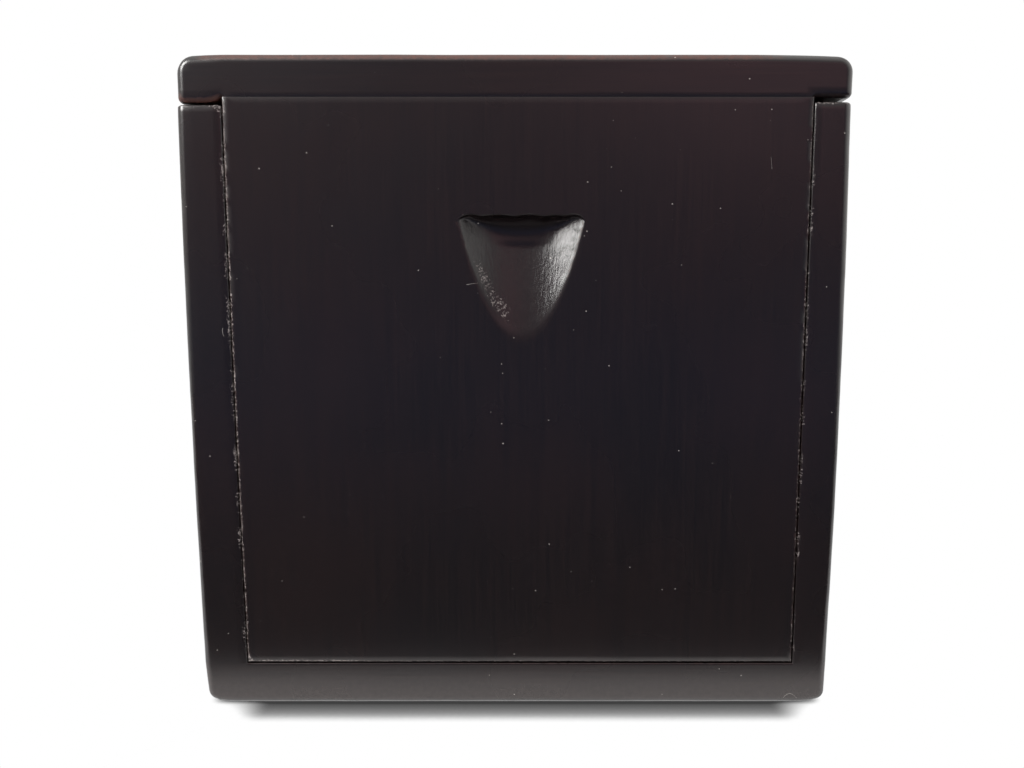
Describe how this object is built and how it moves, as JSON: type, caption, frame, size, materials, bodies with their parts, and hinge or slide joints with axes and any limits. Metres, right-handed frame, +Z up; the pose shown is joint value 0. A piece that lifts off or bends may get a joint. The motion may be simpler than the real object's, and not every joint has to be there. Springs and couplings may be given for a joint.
{
  "type": "storage box with slide-up lid",
  "caption": "Small upright lacquered wooden box whose L-shaped lid, a front panel with a thumb notch joined to the top board, slides straight up out of grooves in the side boards.",
  "frame": {"origin": "under the middle of the box, on the surface it stands on", "axes": "+Z up, -Y out of the front panel, +X to the right seen from the front"},
  "size_m": [0.1112, 0.09, 0.111],
  "materials": {
    "lacquered_wood": "satin dark brown lacquer over wood",
    "peg_wood": "hardwood pegs, ends lacquered over"
  },
  "bodies": {
    "case": {"bottom_board": "lacquered_wood", "left_side_board": "lacquered_wood", "right_side_board": "lacquered_wood", "back_board": "lacquered_wood", "left_bottom_pegs": "peg_wood", "right_bottom_pegs": "peg_wood", "back_bottom_pegs": "peg_wood", "left_corner_pegs": "peg_wood", "right_corner_pegs": "peg_wood"},
    "lid": {"top_board": "lacquered_wood", "front_panel": "lacquered_wood", "lid_pegs": "peg_wood"}
  },
  "joints": [
    {"name": "lid_slide", "type": "slide", "parent": "case", "child": "lid", "axis": [0, 0, 1], "range_m": [0, 0.105]}
  ]
}
